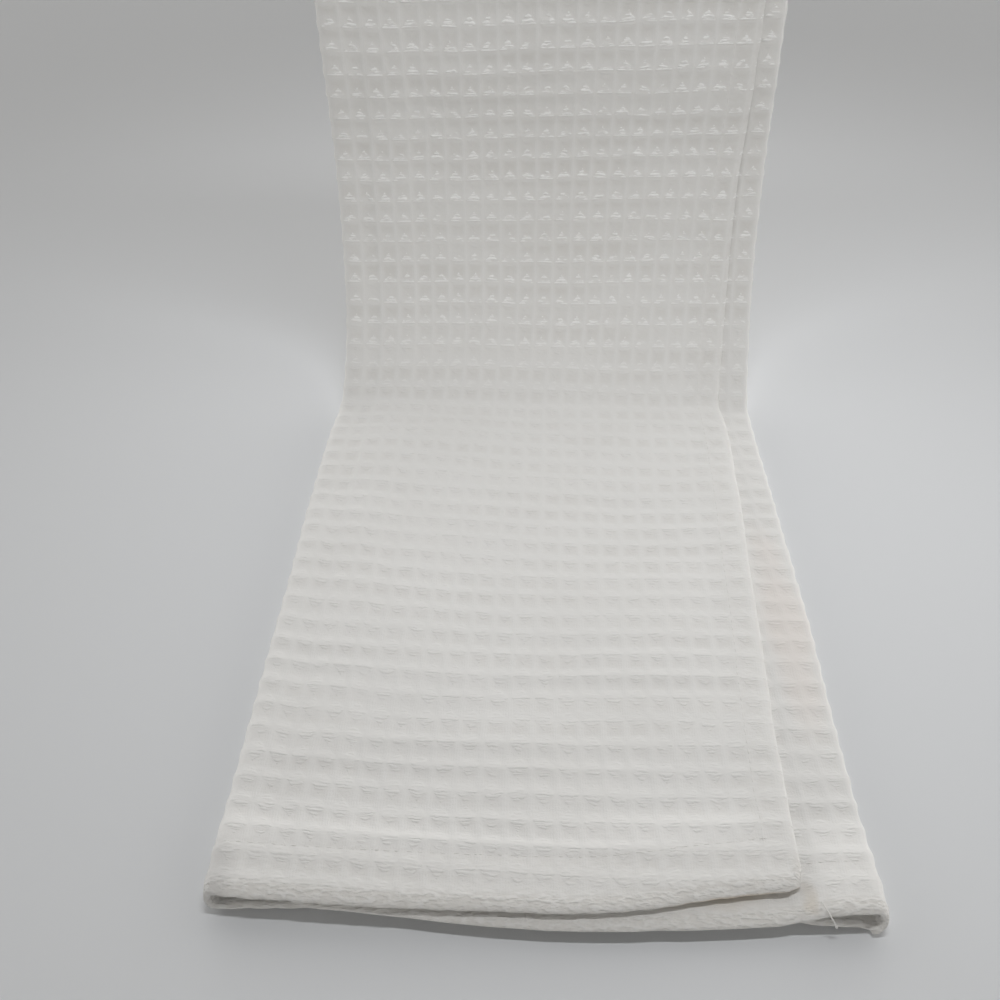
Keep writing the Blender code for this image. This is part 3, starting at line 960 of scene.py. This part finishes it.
def stitch_paths():
    """The lines of stitches: up both long hems and across both ends, on the cloth's outer side."""
    seam = SEAM / CELL
    up = np.arange(END_SEAM, TOWEL_LENGTH - END_SEAM, PATH_UP)
    over = np.arange(seam, LAST_CELL - seam, PATH_OVER)
    return [
        (np.full(len(up), seam), up),
        (np.full(len(up), LAST_CELL - seam), up),
        (over, np.full(len(over), END_SEAM)),
        (over, np.full(len(over), TOWEL_LENGTH - END_SEAM)),
    ]


def stitch_tree():
    """Geometry nodes: a stitch at every pitch along each line, lying on the cloth."""
    group = bpy.data.node_groups.new("stitching", "GeometryNodeTree")
    kinds = {"Pitch": "Float", "Length": "Float", "Thread": "Float", "Material": "Material"}
    for name, kind in {"Geometry": "Geometry", **kinds}.items():
        group.interface.new_socket(name, in_out="INPUT", socket_type="NodeSocket" + kind)
    group.interface.new_socket("Geometry", in_out="OUTPUT", socket_type="NodeSocketGeometry")
    tree = Tree(group)
    start = tree.add("NodeGroupInput").output.node
    lines, pitch, length, thread, material = (Socket(tree, o) for o in start.outputs[:5])
    curve = tree.add("GeometryNodeMeshToCurve", lines)
    points = tree.add("GeometryNodeResampleCurve", named={"Curve": curve, "Length": pitch}, mode="LENGTH")
    away = tree.add("GeometryNodeInputNamedAttribute", "away", data_type="FLOAT_VECTOR")
    ahead = tree.add("GeometryNodeInputTangent")
    turn = tree.add("FunctionNodeAxesToRotation", away, ahead, primary_axis="Z", secondary_axis="X")
    ball = tree.add("GeometryNodeMeshUVSphere", named={"Segments": 6, "Rings": 4, "Radius": 0.5})
    size = tree.add("ShaderNodeCombineXYZ", length, thread, thread)
    stitch = tree.add("GeometryNodeTransform", named={"Geometry": ball, "Scale": size})
    made = {"Points": points, "Instance": stitch, "Rotation": turn}
    made = tree.add("GeometryNodeInstanceOnPoints", named=made)
    real = tree.add("GeometryNodeRealizeInstances", made)
    done = tree.add("GeometryNodeSetMaterial", named={"Geometry": real, "Material": material})
    tree.add("NodeGroupOutput", done)
    return group


def build_stitches(thread_material):
    places, aways, edges = [], [], []
    for cells, distance in stitch_paths():
        row = on_cloth(cells, distance, 1)[2]
        on_floor = (cells > STARTS[1]) & (cells < STARTS[4]) & (distance < SIDE_VIEW[1][0])
        sunk = THREAD * np.where(on_floor, *STITCH_SUNK)
        place, away, _ = on_cloth(cells, distance, 1, surface_depth(cells, distance, row) + sunk)
        start = len(places)
        places.extend(place)
        aways.extend(away)
        edges.extend((i, i + 1) for i in range(start, len(places) - 1))
    guide = bpy.data.meshes.new("hem_stitches")
    guide.from_pydata([tuple(p) for p in places], edges, [])
    away = guide.attributes.new("away", "FLOAT_VECTOR", "POINT")
    away.data.foreach_set("vector", np.array(aways, np.float32).ravel())
    holder = new_object("hem_stitches", guide)
    group = stitch_tree()
    modifier = holder.modifiers.new("stitching", "NODES")
    modifier.node_group = group
    inputs = {s.name: s.identifier for s in group.interface.items_tree if s.in_out == "INPUT"}
    for name, value in (("Pitch", STITCH_PITCH), ("Length", STITCH_LENGTH), ("Thread", THREAD),
                        ("Material", thread_material)):
        modifier[inputs[name]] = value
    return made_plain(holder)


def build_loose_thread(thread_material):
    """An end of thread that sticks out over the middle layer's edge at the front right corner."""
    curve = bpy.data.curves.new("loose_thread", "CURVE")
    curve.dimensions = "3D"
    curve.bevel_depth, curve.bevel_resolution, curve.use_fill_caps = LOOSE_THICKNESS / 2, 2, True
    curve.resolution_u = 4
    spline = curve.splines.new("NURBS")
    spline.points.add(len(LOOSE_THREAD) - 1)
    spline.order_u, spline.use_endpoint_u = 3, True
    for point, (across, back, up, thickness) in zip(spline.points, LOOSE_THREAD):
        point.co = (across - ORIGIN[0], back - ORIGIN[1], up, 1)
        point.radius = thickness
    curve.materials.append(thread_material)
    return made_plain(new_object("loose_thread", curve))


def made_plain(holder):
    """Turns an object with modifiers, or a curve, into a plain mesh of the same name."""
    name = holder.name
    ready = holder.evaluated_get(bpy.context.evaluated_depsgraph_get())
    mesh = bpy.data.meshes.new_from_object(ready)
    bpy.data.objects.remove(holder, do_unlink=True)
    mesh.name = name
    mesh.shade_smooth()
    return new_object(name, mesh)


# ----------------------------
# The floor, the lights and the camera

FLOOR_HALF = 3.0
FLOOR_COLOUR = (0.74, 0.752, 0.765, 1.0)
ROOM_LIGHT = 1.76  # the room's brightness on the whole
ROOM_TURNS = (0.12, 0.68, -2.08)  # and how much brighter it is to the right, to the back and overhead
ROOM_DIMMEST = 0.02
ROOM_COLOUR = (1.0, 0.987, 0.965, 1.0)
STRIP_COLOUR = (0.975, 0.985, 1.0)
STRIP_PLACE = (0.06, 0.02, 0.75)
STRIP_SIZE = (0.36, 0.04)
STRIP_FAN = 70.0  # how wide it shines, in degrees
STRIP_POWER = 0.345


def build_floor():
    mesh = bpy.data.meshes.new("floor")
    half = FLOOR_HALF
    corners = [(-half, -half, 0), (half, -half, 0), (half, half, 0), (-half, half, 0)]
    mesh.from_pydata(corners, [], [(0, 1, 2, 3)])
    material, tree = new_material("pale_floor")
    shader = tree.add("ShaderNodeBsdfPrincipled", named={"Base Color": FLOOR_COLOUR, "Roughness": 0.8})
    tree.add("ShaderNodeOutputMaterial", shader)
    mesh.materials.append(material)
    return new_object("floor", mesh)


def hang_strip():
    """A strip light above the towel, shining straight down."""
    lamp = bpy.data.lights.new("light_strip", "AREA")
    lamp.shape, lamp.spread = "RECTANGLE", np.radians(STRIP_FAN)
    lamp.size, lamp.size_y = STRIP_SIZE
    lamp.energy, lamp.color = STRIP_POWER, STRIP_COLOUR
    new_object("light_strip", lamp).location = STRIP_PLACE


def light_room():
    """A soft room, brighter at its walls than overhead, and brightest behind the towel."""
    world = bpy.data.worlds.new("soft_room")
    world.use_nodes = True
    tree = Tree(world.node_tree)
    way = tree.add("ShaderNodeTexCoord")
    turned = tree.add("ShaderNodeVectorMath", way, ROOM_TURNS, operation="DOT_PRODUCT", output=1)
    strength = (turned + ROOM_LIGHT).most(ROOM_DIMMEST)
    background = world.node_tree.nodes["Background"]
    background.inputs["Color"].default_value = ROOM_COLOUR
    world.node_tree.links.new(strength.output, background.inputs["Strength"])
    bpy.context.scene.world = world


def light_scene():
    light_room()
    hang_strip()
    bpy.context.scene.view_settings.view_transform = "Standard"


def place_camera():
    camera = bpy.data.cameras.new("camera")
    camera.lens, camera.sensor_width = LENS, SENSOR
    holder = new_object("camera", camera)
    holder.location = (-ORIGIN[0], -CAMERA_FORWARD - ORIGIN[1], CAMERA_HEIGHT)
    holder.rotation_euler = (np.radians(90 - CAMERA_PITCH), 0, 0)
    bpy.context.scene.camera = holder


def main():
    cotton, sewing = cotton_waffle(), sewing_cotton()
    cloth = build_cloth()
    cloth.data.materials.append(cotton)
    threads = [build_stitches(sewing), build_loose_thread(sewing)]
    for piece in (cloth, *threads):
        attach(piece, "root")
    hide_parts("dish_towel")
    floor = build_floor()
    light_scene()
    place_camera()


main()
